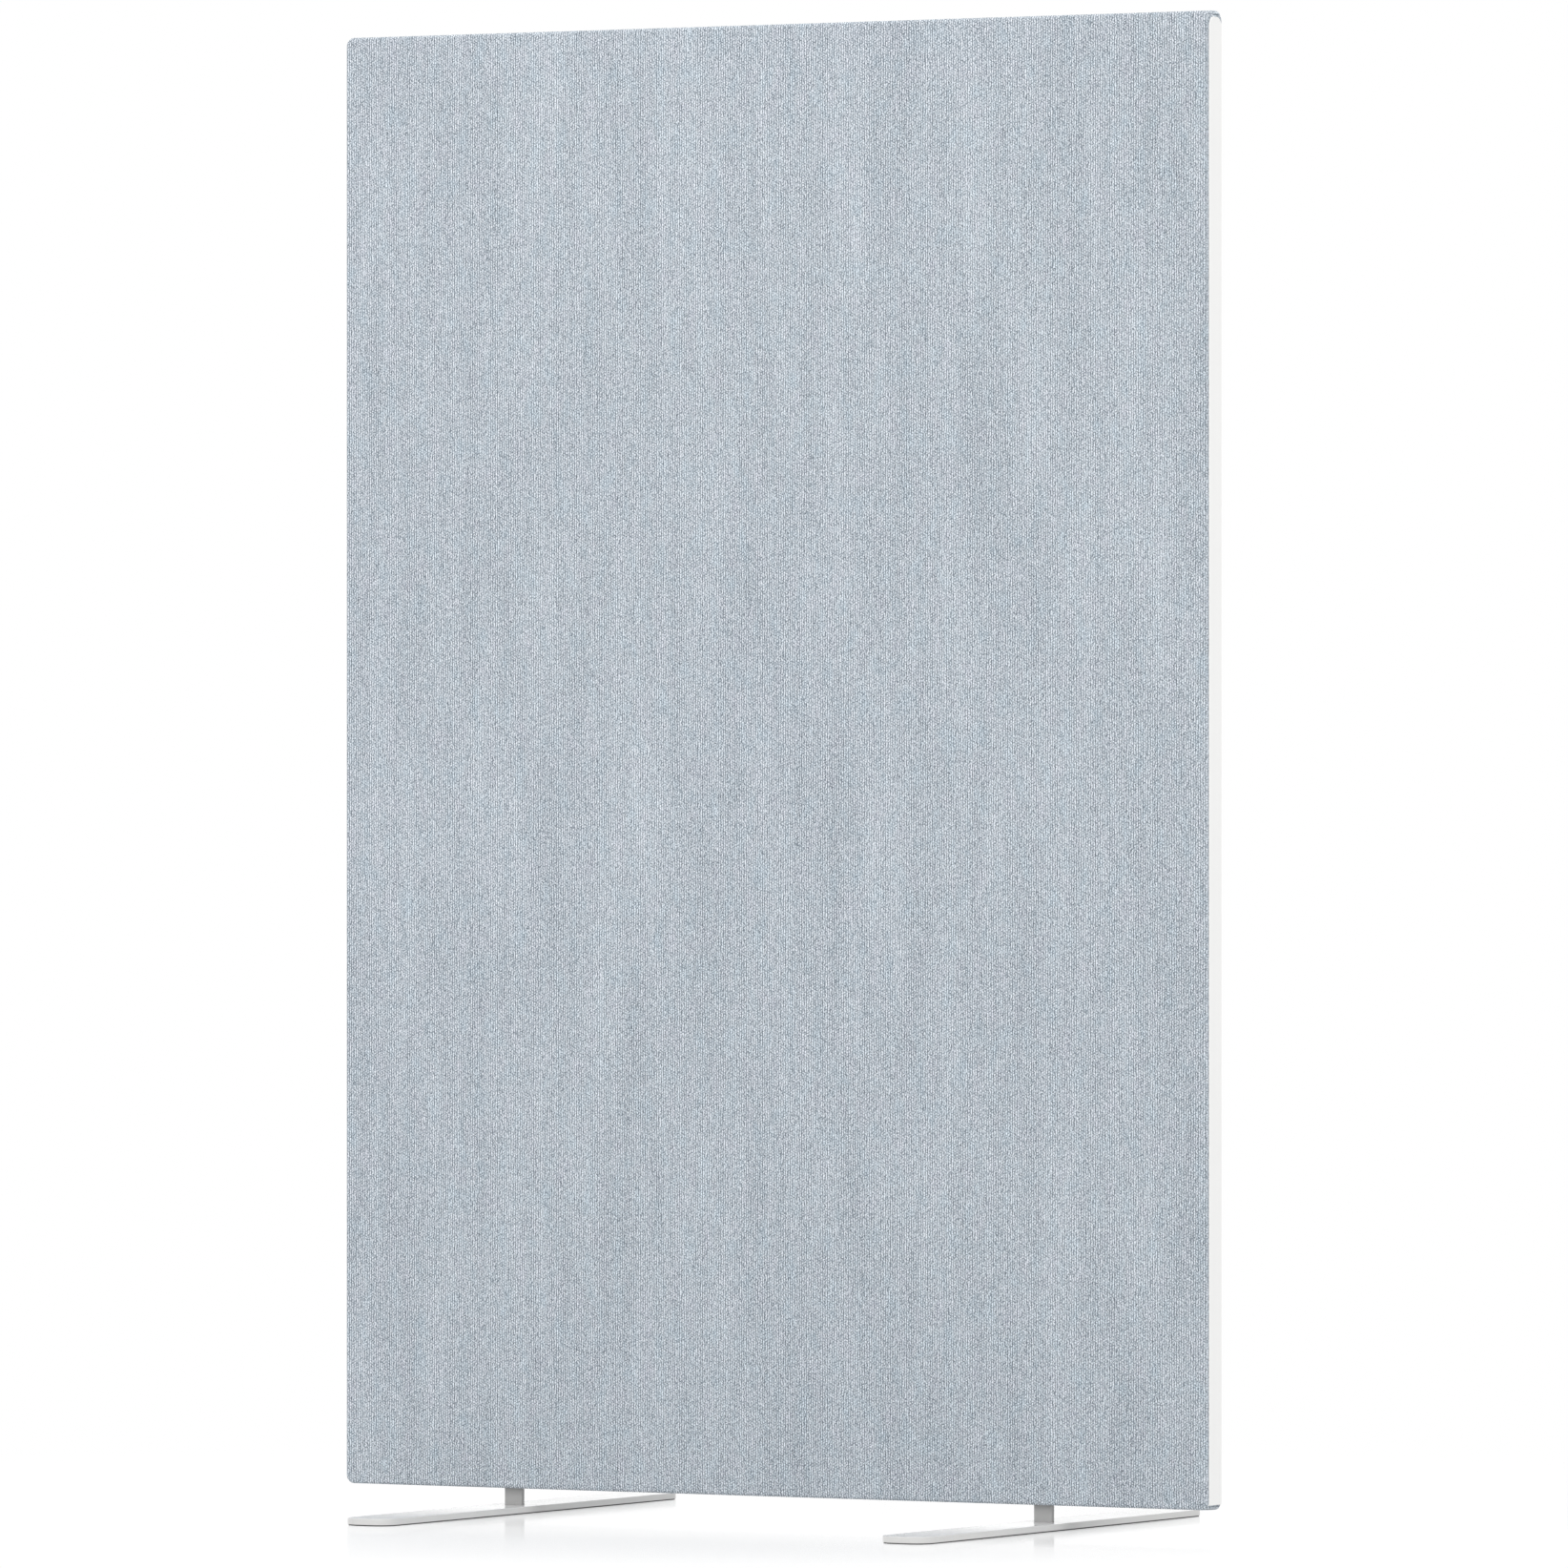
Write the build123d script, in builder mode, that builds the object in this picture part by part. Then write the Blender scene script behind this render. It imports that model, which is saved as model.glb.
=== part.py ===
from build123d import *
from math import radians, tan
import os

# Free-standing office floor screen: a cloth-covered absorbent panel on two flat steel feet.
# Lengths are millimetres and Z is up. X runs along the panel, the front faces -Y, and the
# origin is on the floor under the middle of the panel.

# Panel as seen from outside
panel_length = 1000.0
panel_height = 1475.0
floor_gap = 25.0
corner_radius = 8.5
edge_radius = 3.4

# Layers of the panel, from the outside in
cover_thickness = 1.0
wadding_thickness = 2.5
frame_thickness = 25.0

# Timber frame, doweled at the rail ends
stile_width = 50.0
top_rail_height = 45.0
middle_rail_height = 45.0
bottom_rail_height = 120.0
dowel_diameter = 8.0
dowel_length = 50.0
dowel_chamfer = 1.0
dowel_edge_distance = 12.0
dowel_clearance = 0.1
dowel_hole_relief = 1.0

# Absorber batts in the two bays of the frame
absorber_clearance = 0.3

# Edge strips: a flat head that closes the panel's end, and a barbed web in the stile's groove
strip_proud = 0.3
strip_head_thickness = 2.0
strip_web_thickness = 2.4
strip_web_depth = 9.0
strip_top_inset = 5.5
strip_bottom_inset = 4.5
strip_top_radius = 9.0
strip_bottom_radius = 4.0
strip_face_radius = 0.6
strip_clearance = 0.1
barb_count = 3
barb_pitch = 2.4
barb_reach = 0.08
groove_relief = 1.5

# Feet: a flat bar across the panel with an upright tongue and a rubber underlay
foot_inset = 193.0
foot_length = 580.0
foot_width = 55.0
foot_thickness = 6.4
foot_corner_radius = 20.0
foot_edge_radius = 0.7
tongue_width = 20.0
tongue_thickness = 5.0
tongue_chamfer = 1.0
tongue_slot_clearance = 0.1
cover_slit_clearance = 0.8
underlay_thickness = 1.0
underlay_inset = 1.0

# Sockets: a steel sleeve on a screwed flange, let into the bottom rail
timber_over_socket = 18.3
socket_wall = 1.5
socket_clearance = 0.15
seat_clearance = 0.1
flange_length = 62.0
flange_width = 20.0
flange_thickness = 2.5
housing_clearance = 0.2
screw_spacing = 44.0
screw_diameter = 4.0
screw_head_diameter = 8.0
screw_head_angle = 90.0
screw_length = 30.0
screw_tip_length = 4.0
screw_clearance = 0.1

# Overrun of every cut
overrun = 5.0

# Heights above the floor
panel_bottom = floor_gap
panel_top = panel_bottom + panel_height
panel_middle = (panel_bottom + panel_top) / 2
core_bottom = panel_bottom + cover_thickness
core_top = panel_top - cover_thickness

# Depth of the bore for a foot's tongue, with the housing's end inside the bottom rail
socket_depth = bottom_rail_height - timber_over_socket - housing_clearance - socket_wall
socket_end = core_bottom + socket_depth

# The core is everything inside the cloth
panel_thickness = frame_thickness + 2 * (wadding_thickness + cover_thickness)
cover_length = panel_length - 2 * strip_proud
core_length = cover_length - 2 * cover_thickness
core_thickness = panel_thickness - 2 * cover_thickness
core_height = core_top - core_bottom

# Distances from the middle of the panel to the faces at its ends
core_end = core_length / 2
strip_face = panel_length / 2
strip_back = strip_face - strip_head_thickness
pocket_floor = strip_back - cover_thickness
web_end = strip_back - strip_web_depth
groove_floor = web_end - groove_relief
stile_inner = core_end - stile_width

# Distance from the middle of the panel to the middle of each foot
foot_centre = strip_face - foot_inset

# The strip's head fills the flat between the rounded edges of the cloth
strip_width = panel_thickness - 2 * (edge_radius + strip_clearance)
strip_bottom = panel_bottom + strip_bottom_inset
strip_top = panel_top - strip_top_inset
strip_middle = (strip_bottom + strip_top) / 2
strip_length = strip_top - strip_bottom

# Heights of the two bays, with the middle rail halfway between the outer rails
lower_bay_bottom = core_bottom + bottom_rail_height
upper_bay_top = core_top - top_rail_height
middle_rail_middle = (lower_bay_bottom + upper_bay_top) / 2
lower_bay_top = middle_rail_middle - middle_rail_height / 2
upper_bay_bottom = middle_rail_middle + middle_rail_height / 2

# Dowels, two to each rail end, near the rail's lower and upper edge
dowel_heights = [
    core_bottom + dowel_edge_distance,
    lower_bay_bottom - dowel_edge_distance,
    lower_bay_top + dowel_edge_distance,
    upper_bay_bottom - dowel_edge_distance,
    upper_bay_top + dowel_edge_distance,
    core_top - dowel_edge_distance,
]

# Margins round the strip's room and the tongue's room, layer by layer
lining_margin = strip_clearance + cover_thickness
sleeve_margin = socket_clearance + socket_wall
housing_margin = sleeve_margin + housing_clearance

# Tops of the foot plate, the socket's sleeve and the housing around it
foot_top = underlay_thickness + foot_thickness
sleeve_top = socket_end + socket_wall
housing_top = sleeve_top + housing_clearance

# Ends of the screen and faces of the panel, with the sign of their axis
ends = {"left": -1, "right": 1}
faces = {"front": -1, "back": 1}


def end_plane(side, distance):
    """Upright plane across the panel, facing outwards at a distance from its middle."""
    return Plane(origin=(side * distance, 0, panel_middle), x_dir=(0, side, 0), z_dir=(side, 0, 0))


def strip_plane(side, distance):
    """Upright plane across the panel, on the middle of an edge strip."""
    return Plane(origin=(side * distance, 0, strip_middle), x_dir=(0, side, 0), z_dir=(side, 0, 0))


def foot_plane(side, height):
    """Level plane over the middle of one foot."""
    return Plane(origin=(side * foot_centre, 0, height))


def rounded_slab(length, thickness, height, corner, edge):
    """Slab on the panel's middle, round at its corners in elevation and along its edges."""
    with BuildPart() as slab:
        with BuildSketch(Plane.XZ.shift_origin((0, 0, panel_middle))):
            RectangleRounded(length, height, corner)
        extrude(amount=thickness / 2, both=True)
        fillet(slab.faces().filter_by(Axis.Y).edges(), edge)
    return slab.part


def strip_room(side, margin, inner, outer):
    """Outline of a strip's head, wider by a margin all round, between two distances from the middle."""
    with BuildPart() as room:
        with BuildSketch(strip_plane(side, inner)) as outline:
            Rectangle(strip_width + 2 * margin, strip_length + 2 * margin)
            lower, upper = outline.vertices().group_by(Axis.Y)
            fillet(upper, strip_top_radius + margin)
            fillet(lower, strip_bottom_radius + margin)
        extrude(amount=outer - inner)
    return room.part


def web_room(side, margin, inner, outer):
    """Outline of a strip's web, wider by a margin all round, between two distances from the middle."""
    with BuildPart() as room:
        with BuildSketch(strip_plane(side, inner)):
            Rectangle(strip_web_thickness + 2 * margin, strip_length + 2 * margin)
        extrude(amount=outer - inner)
    return room.part


def tongue_room(side, margin, bottom, top):
    """Outline of a foot's tongue, wider by a margin all round, between two heights."""
    with BuildPart() as room:
        with BuildSketch(foot_plane(side, bottom)):
            Rectangle(tongue_width + 2 * margin, tongue_thickness + 2 * margin)
        extrude(amount=top - bottom)
    return room.part


def flange_room(side, margin):
    """Outline of a socket's flange, wider by a margin all round, let into the rail's underside."""
    with BuildPart() as room:
        with BuildSketch(foot_plane(side, core_bottom)):
            Rectangle(flange_length + 2 * margin, flange_width + 2 * margin)
        extrude(amount=flange_thickness)
    return room.part


def dowel_bars(radius, length):
    """Round bars at all dowel places, half of each in a stile and half in a rail."""
    with BuildPart() as bars:
        for side in ends.values():
            with BuildSketch(Plane.YZ.offset(side * stile_inner)):
                with Locations(*[(0, height) for height in dowel_heights]):
                    Circle(radius)
            extrude(amount=length / 2, both=True)
    return bars.part


cover_form = rounded_slab(cover_length, panel_thickness, panel_height, corner_radius, edge_radius)
core_form = rounded_slab(
    core_length,
    core_thickness,
    core_height,
    corner_radius - cover_thickness,
    edge_radius - cover_thickness,
)
dowel_bores = dowel_bars(dowel_diameter / 2 + dowel_clearance, dowel_length + 2 * dowel_hole_relief)


def make_stile(side):
    """Upright of the frame, with a pocket and a groove for the edge strip and the cloth under it."""
    pocket = strip_room(side, lining_margin, pocket_floor, strip_face)
    groove = web_room(side, lining_margin, groove_floor, strip_face)
    with BuildPart() as stile:
        with BuildSketch(end_plane(side, stile_inner)):
            Rectangle(frame_thickness, core_height)
        extrude(amount=stile_width)
        add(core_form, mode=Mode.INTERSECT)
        add([pocket, groove, dowel_bores], mode=Mode.SUBTRACT)
    return stile.part


def make_rail(bottom, top):
    """Cross member between the stiles."""
    with BuildPart() as rail:
        with BuildSketch(Plane.YZ.shift_origin((0, 0, (bottom + top) / 2))):
            Rectangle(frame_thickness, top - bottom)
        extrude(amount=stile_inner, both=True)
        add(core_form, mode=Mode.INTERSECT)
        add(dowel_bores, mode=Mode.SUBTRACT)
    return rail.part


def make_bottom_rail():
    """Deep cross member, with a housing for each foot socket and pilot holes for its screws."""
    plain_rail = make_rail(core_bottom, lower_bay_bottom)
    housings = []
    for side in ends.values():
        housings.append(flange_room(side, housing_clearance))
        housings.append(tongue_room(side, housing_margin, core_bottom, housing_top))
    with BuildPart() as rail:
        add(plain_rail)
        add(housings, mode=Mode.SUBTRACT)
        for side in ends.values():
            with BuildSketch(foot_plane(side, core_bottom)):
                with GridLocations(screw_spacing, 0, 2, 1):
                    Circle(screw_diameter / 2 + screw_clearance)
            extrude(amount=screw_length + screw_clearance, mode=Mode.SUBTRACT)
    return rail.part


def make_dowels():
    """Beech dowels of the frame, chamfered at both ends."""
    bars = dowel_bars(dowel_diameter / 2, dowel_length)
    with BuildPart() as dowels:
        add(bars)
        chamfer(dowels.edges().filter_by(GeomType.CIRCLE), dowel_chamfer)
    return dowels.part


def make_absorber(bottom, top):
    """Absorbent batt that fills one bay of the frame."""
    with BuildPart() as batt:
        with BuildSketch(Plane.YZ.shift_origin((0, 0, (bottom + top) / 2))):
            Rectangle(frame_thickness, top - bottom - 2 * absorber_clearance)
        extrude(amount=stile_inner - absorber_clearance, both=True)
    return batt.part


def make_wadding(face):
    """Soft layer over one face of the frame, under the cloth, round along its outer edge."""
    pockets = [strip_room(side, lining_margin, pocket_floor, strip_face) for side in ends.values()]
    with BuildPart() as wadding:
        add(core_form)
        split(
            bisect_by=Plane.XZ.offset(-face * frame_thickness / 2),
            keep=Keep.BOTTOM if face > 0 else Keep.TOP,
        )
        add(pockets, mode=Mode.SUBTRACT)
    return wadding.part


def make_cover():
    """Cloth sleeve round the core, tucked under each strip's head and into the groove for its web."""
    tucks = []
    openings = []
    for side in ends.values():
        with BuildPart() as lining:
            add(cover_form)
            add(strip_room(side, lining_margin, pocket_floor, strip_face), mode=Mode.INTERSECT)
        tucks.append(lining.part)
        tucks.append(web_room(side, lining_margin, web_end, strip_back))
        openings.append(strip_room(side, strip_clearance, strip_back, strip_face + overrun))
        openings.append(web_room(side, strip_clearance, web_end - overrun, strip_face))
        openings.append(tongue_room(side, cover_slit_clearance, panel_bottom - overrun, core_bottom))
    with BuildPart() as cover:
        add(cover_form)
        add(core_form, mode=Mode.SUBTRACT)
        add(tucks)
        add(openings, mode=Mode.SUBTRACT)
    return cover.part


def make_edge_strip(side):
    """White strip at one end of the panel: a rounded head, and a web with barbs on both sides."""
    half_web = strip_web_thickness / 2
    upper = [(side * strip_back, half_web)]
    for barb in range(barb_count):
        root = strip_back - (barb + 1) * barb_pitch
        crest = root + barb_pitch / 2
        upper.append((side * crest, half_web))
        upper.append((side * crest, half_web + barb_reach))
        upper.append((side * root, half_web))
    upper.append((side * web_end, half_web))
    lower = [(across, -depth) for across, depth in reversed(upper)]
    head = strip_room(side, 0, strip_back, strip_face)
    with BuildPart() as strip:
        add(head)
        outer_face = strip.faces().sort_by(Axis.X)[-1 if side > 0 else 0]
        fillet(outer_face.edges(), strip_face_radius)
        with BuildSketch(Plane.XY.offset(strip_bottom)):
            with BuildLine():
                Polyline(*upper, *lower, close=True)
            make_face()
        extrude(amount=strip_length)
    return strip.part


def make_socket(side):
    """Closed sleeve for a foot's tongue, with a flange for two countersunk screws."""
    flange = flange_room(side, 0)
    sleeve = tongue_room(side, sleeve_margin, core_bottom, sleeve_top)
    bore = tongue_room(side, socket_clearance, core_bottom, socket_end)
    underside = Plane(origin=(side * foot_centre, 0, core_bottom), z_dir=(0, 0, -1))
    with BuildPart() as socket:
        add([flange, sleeve])
        add(bore, mode=Mode.SUBTRACT)
        with Locations(underside):
            with GridLocations(screw_spacing, 0, 2, 1):
                CounterSinkHole(
                    screw_diameter / 2 + screw_clearance,
                    screw_head_diameter / 2 + screw_clearance,
                    depth=flange_thickness,
                    counter_sink_angle=screw_head_angle,
                )
    return socket.part


def make_socket_screws(side):
    """Two countersunk wood screws, heads flush with the underside of the socket's flange."""
    shank = screw_diameter / 2
    head = screw_head_diameter / 2
    head_height = (head - shank) / tan(radians(screw_head_angle / 2))
    with BuildPart() as screws:
        for end in ends.values():
            across = side * foot_centre + end * screw_spacing / 2
            with BuildSketch(Plane.XZ.shift_origin((across, 0, core_bottom))):
                with BuildLine():
                    Polyline(
                        (0, 0),
                        (head, 0),
                        (shank, head_height),
                        (shank, screw_length - screw_tip_length),
                        (0, screw_length),
                        close=True,
                    )
                make_face()
            revolve(axis=Axis((across, 0, core_bottom), (0, 0, 1)))
    return screws.part


def make_foot_plate(side):
    """Flat bar that lies across the panel, with a slot in its middle for the tongue."""
    slot = tongue_room(side, tongue_slot_clearance, underlay_thickness, foot_top)
    with BuildPart() as plate:
        with BuildSketch(foot_plane(side, underlay_thickness)):
            RectangleRounded(foot_width, foot_length, foot_corner_radius)
        extrude(amount=foot_thickness)
        fillet(plate.faces().filter_by(Axis.Z).edges(), foot_edge_radius)
        add(slot, mode=Mode.SUBTRACT)
    return plate.part


def make_foot_tongue(side):
    """Upright flat bar, welded into the foot plate, that plugs into the panel's socket."""
    bar = tongue_room(side, 0, underlay_thickness, socket_end - seat_clearance)
    with BuildPart() as tongue:
        add(bar)
        chamfer(tongue.faces().sort_by(Axis.Z)[-1].edges(), tongue_chamfer)
    return tongue.part


def make_foot_underlay(side):
    """Thin rubber sheet glued to the underside of a foot."""
    with BuildPart() as underlay:
        with BuildSketch(foot_plane(side, 0)):
            RectangleRounded(
                foot_width - 2 * underlay_inset,
                foot_length - 2 * underlay_inset,
                foot_corner_radius - underlay_inset,
            )
        extrude(amount=underlay_thickness)
    return underlay.part


def write_piece(piece, name):
    """Label one finished piece and write it under its name."""
    piece.label = name
    export_step(piece, f"parts/{name}.step")


os.makedirs("parts", exist_ok=True)

write_piece(make_rail(upper_bay_top, core_top), "top_rail")
write_piece(make_rail(lower_bay_top, upper_bay_bottom), "middle_rail")
write_piece(make_bottom_rail(), "bottom_rail")
write_piece(make_dowels(), "frame_dowels")
write_piece(make_absorber(lower_bay_bottom, lower_bay_top), "absorber_lower")
write_piece(make_absorber(upper_bay_bottom, upper_bay_top), "absorber_upper")
write_piece(make_cover(), "cloth_cover")

for name, face in faces.items():
    write_piece(make_wadding(face), f"wadding_{name}")

for name, side in ends.items():
    write_piece(make_stile(side), f"stile_{name}")
    write_piece(make_edge_strip(side), f"edge_strip_{name}")
    write_piece(make_socket(side), f"foot_socket_{name}")
    write_piece(make_socket_screws(side), f"socket_screws_{name}")
    write_piece(make_foot_plate(side), f"foot_plate_{name}")
    write_piece(make_foot_tongue(side), f"foot_tongue_{name}")
    write_piece(make_foot_underlay(side), f"foot_underlay_{name}")
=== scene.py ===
"""Looks of a free-standing office floor screen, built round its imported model.

Metres, +Z up, X along the panel, and the front faces -Y.
"""

import logging
import math
from dataclasses import dataclass
from enum import Enum
from typing import ClassVar, Iterable, Optional, Sequence, Union

import bmesh
import bpy
from mathutils import Matrix, Vector


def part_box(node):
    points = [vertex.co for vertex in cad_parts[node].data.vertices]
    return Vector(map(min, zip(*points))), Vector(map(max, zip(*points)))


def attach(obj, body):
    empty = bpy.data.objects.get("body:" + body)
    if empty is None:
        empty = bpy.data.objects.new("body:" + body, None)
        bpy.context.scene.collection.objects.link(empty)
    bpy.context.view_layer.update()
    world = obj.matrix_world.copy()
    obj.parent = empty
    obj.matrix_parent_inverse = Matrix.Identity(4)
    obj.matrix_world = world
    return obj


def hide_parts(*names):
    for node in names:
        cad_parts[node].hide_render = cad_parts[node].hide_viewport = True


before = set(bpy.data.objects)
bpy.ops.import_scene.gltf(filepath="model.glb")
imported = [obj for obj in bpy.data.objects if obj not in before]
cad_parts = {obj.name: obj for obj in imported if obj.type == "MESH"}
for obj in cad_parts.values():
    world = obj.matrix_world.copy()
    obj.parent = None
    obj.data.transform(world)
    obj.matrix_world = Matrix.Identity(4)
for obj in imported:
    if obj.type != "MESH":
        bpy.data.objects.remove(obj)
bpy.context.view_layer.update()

log = logging.getLogger("screen")
MM = 0.001

Number = Union[float, "Term"]
Colour = tuple[float, float, float]
Point = tuple[float, float, float]


class Side(Enum):
    """One half of the screen, with the sign of its X axis."""

    LEFT = -1
    RIGHT = 1

    @property
    def word(self) -> str:
        """The side's name in node names."""
        return self.name.lower()


class Grain(Enum):
    """The way that the grain of a timber runs, as the stretch of its pattern along X, Y and Z."""

    LEVEL = (0.06, 1.0, 1.0)
    UPRIGHT = (1.0, 1.0, 0.06)


class Term:
    """One number in a node tree. Python's operators on it add Math nodes."""

    def __init__(self, graph: "Graph", socket: bpy.types.NodeSocket) -> None:
        """Wrap a socket.

        Args:
            graph: The tree that the socket is in.
            socket: An output that gives a number.
        """
        self.graph = graph
        self.socket = socket

    def _math(self, operation: str, *values: Number) -> "Term":
        """Add one Math node.

        Args:
            operation: The node's operation.
            values: Its inputs, in order.

        Returns:
            The node's result.
        """
        node = self.graph.node("ShaderNodeMath", {"operation": operation}, dict(enumerate(values)))
        return Term(self.graph, node.outputs[0])

    def __add__(self, other: Number) -> "Term":
        """Sum."""
        return self._math("ADD", self, other)

    __radd__ = __add__

    def __sub__(self, other: Number) -> "Term":
        """Difference."""
        return self._math("SUBTRACT", self, other)

    def __rsub__(self, other: Number) -> "Term":
        """Difference, from a plain number."""
        return self._math("SUBTRACT", other, self)

    def __mul__(self, other: Number) -> "Term":
        """Product."""
        return self._math("MULTIPLY", self, other)

    __rmul__ = __mul__

    def __truediv__(self, other: Number) -> "Term":
        """Quotient."""
        return self._math("DIVIDE", self, other)

    def __pow__(self, other: Number) -> "Term":
        """Power."""
        return self._math("POWER", self, other)

    def __mod__(self, other: Number) -> "Term":
        """Remainder, never negative."""
        return self._math("FLOORED_MODULO", self, other)

    def floor(self) -> "Term":
        """Whole number below."""
        return self._math("FLOOR", self)

    def wave(self) -> "Term":
        """Cosine in whole turns: 1 at every whole number and -1 halfway between."""
        return self._math("COSINE", self * math.tau)

    def highest(self, other: Number) -> "Term":
        """The larger of two numbers."""
        return self._math("MAXIMUM", self, other)

    def between(self, low: float, high: float) -> "Term":
        """Smooth step.

        Args:
            low: Where the result leaves 0.
            high: Where the result reaches 1.

        Returns:
            A number from 0 to 1.
        """
        settings = {"interpolation_type": "SMOOTHSTEP"}
        values = {0: self, 1: low, 2: high, 3: 0.0, 4: 1.0}
        node = self.graph.node("ShaderNodeMapRange", settings, values)
        return Term(self.graph, node.outputs[0])


class Graph:
    """A node tree under construction."""

    def __init__(self, tree: bpy.types.NodeTree) -> None:
        """Wrap a tree.

        Args:
            tree: The tree that nodes are added to.
        """
        self.tree = tree

    def node(
        self,
        kind: str,
        settings: Optional[dict] = None,
        values: Optional[dict] = None,
    ) -> bpy.types.Node:
        """Add a node.

        Args:
            kind: The node's type.
            settings: Its properties, set first. The key "stops" gives a ramp's places and colours.
            values: What its inputs get, by name or number: a number, a colour, a Term or an output.

        Returns:
            The new node.
        """
        node = self.tree.nodes.new(kind)
        for name, setting in (settings or {}).items():
            if name == "stops":
                self._set_stops(node.color_ramp, setting)
            else:
                setattr(node, name, setting)
        for key, value in (values or {}).items():
            source = value.socket if isinstance(value, Term) else value
            if isinstance(source, bpy.types.NodeSocket):
                self.tree.links.new(source, node.inputs[key])
            else:
                node.inputs[key].default_value = source
        return node

    @staticmethod
    def _set_stops(ramp: bpy.types.ColorRamp, stops: Sequence[tuple[float, Colour]]) -> None:
        """Set the stops of a colour ramp.

        Args:
            ramp: The ramp, with its two first stops.
            stops: Places from 0 to 1 with their colours.
        """
        while len(ramp.elements) < len(stops):
            ramp.elements.new(1.0)
        for element, (place, colour) in zip(ramp.elements, stops):
            element.position = place
            element.color = (*colour, 1.0)

    def numbers(self, vector: bpy.types.NodeSocket) -> tuple[Term, Term, Term]:
        """Split a vector into its three numbers."""
        split = self.node("ShaderNodeSeparateXYZ", values={0: vector})
        return tuple(Term(self, output) for output in split.outputs)

    def vector(self, x: Number, y: Number = 0.0, z: Number = 0.0) -> bpy.types.NodeSocket:
        """Join three numbers into a vector."""
        return self.node("ShaderNodeCombineXYZ", values={0: x, 1: y, 2: z}).outputs[0]

    def ray(self, kind: str) -> Term:
        """1 for light paths of one kind, such as "Is Camera Ray", and 0 for the rest."""
        return Term(self, self.node("ShaderNodeLightPath").outputs[kind])

    def seen(self) -> Term:
        """1 for what the camera sees, also in a mirror or through glass, and 0 for other light."""
        mirrored = self.ray("Is Camera Ray").highest(self.ray("Is Glossy Ray"))
        return mirrored.highest(self.ray("Is Transmission Ray"))


class Shader(Graph):
    """A material under construction."""

    def __init__(self, name: str) -> None:
        """Start an empty material.

        Args:
            name: The material's name.
        """
        self.material = bpy.data.materials.new(name)
        self.material.use_nodes = True
        super().__init__(self.material.node_tree)
        self.tree.nodes.clear()

    def place(self) -> bpy.types.NodeSocket:
        """The surface point in the object's own coordinates, in metres."""
        return self.node("ShaderNodeTexCoord").outputs["Object"]

    def stretched(self, vector: bpy.types.NodeSocket, scale: Point) -> bpy.types.NodeSocket:
        """A vector with each of its numbers times a factor."""
        settings = {"operation": "MULTIPLY"}
        return self.node("ShaderNodeVectorMath", settings, {0: vector, 1: scale}).outputs[0]

    def noise(self, vector: bpy.types.NodeSocket, scale: float, detail: float = 2.0) -> Term:
        """Smooth noise.

        Args:
            vector: Where it is read.
            scale: How many swells there are to one unit of the vector.
            detail: How many finer layers are added.

        Returns:
            A number about 0.5.
        """
        values = {"Vector": vector, "Scale": scale, "Detail": detail}
        return Term(self, self.node("ShaderNodeTexNoise", values=values).outputs[0])

    def chance(self, *cell: Number) -> Term:
        """A fixed random number from 0 to 1 for each cell, given by up to three whole numbers."""
        values = {"Vector": self.vector(*cell)}
        return Term(self, self.node("ShaderNodeTexWhiteNoise", values=values).outputs[0])

    def spangle(self, vector: bpy.types.NodeSocket, scale: float) -> Term:
        """Distance from the middle of the irregular cell that a point is in."""
        values = {"Vector": vector, "Scale": scale}
        return Term(self, self.node("ShaderNodeTexVoronoi", values=values).outputs[0])

    def mixed(
        self,
        factor: Number,
        first: Union[Colour, bpy.types.NodeSocket],
        second: Union[Colour, bpy.types.NodeSocket],
        blend: str = "MIX",
    ) -> bpy.types.NodeSocket:
        """Mix two colours.

        Args:
            factor: Share of the second colour.
            first: A colour or an output.
            second: A colour or an output.
            blend: How the second is laid over the first.

        Returns:
            The mixed colour.
        """
        first, second = ((*c, 1.0) if isinstance(c, tuple) else c for c in (first, second))
        settings = {"data_type": "RGBA", "blend_type": blend, "clamp_factor": True}
        return self.node("ShaderNodeMix", settings, {0: factor, 6: first, 7: second}).outputs[2]

    def ramp(self, factor: Term, stops: Sequence[tuple[float, Colour]]) -> bpy.types.NodeSocket:
        """A colour read from a ramp."""
        return self.node("ShaderNodeValToRGB", {"stops": stops}, {0: factor}).outputs[0]

    def bump(self, height: Term, distance: float, strength: float = 1.0) -> bpy.types.NodeSocket:
        """Bumps for the Normal socket.

        Args:
            height: Relief, from 0 to 1.
            distance: How high 1 stands, in metres.
            strength: Share of the effect.

        Returns:
            The bumped normal.
        """
        values = {"Strength": strength, "Distance": distance, "Height": height}
        return self.node("ShaderNodeBump", values=values).outputs[0]

    def finish(self, values: dict) -> bpy.types.Material:
        """End the material in a Principled surface.

        Args:
            values: What the surface's sockets get.

        Returns:
            The material.
        """
        surface = self.node("ShaderNodeBsdfPrincipled", values=values)
        self.node("ShaderNodeOutputMaterial", values={"Surface": surface.outputs[0]})
        return self.material


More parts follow.
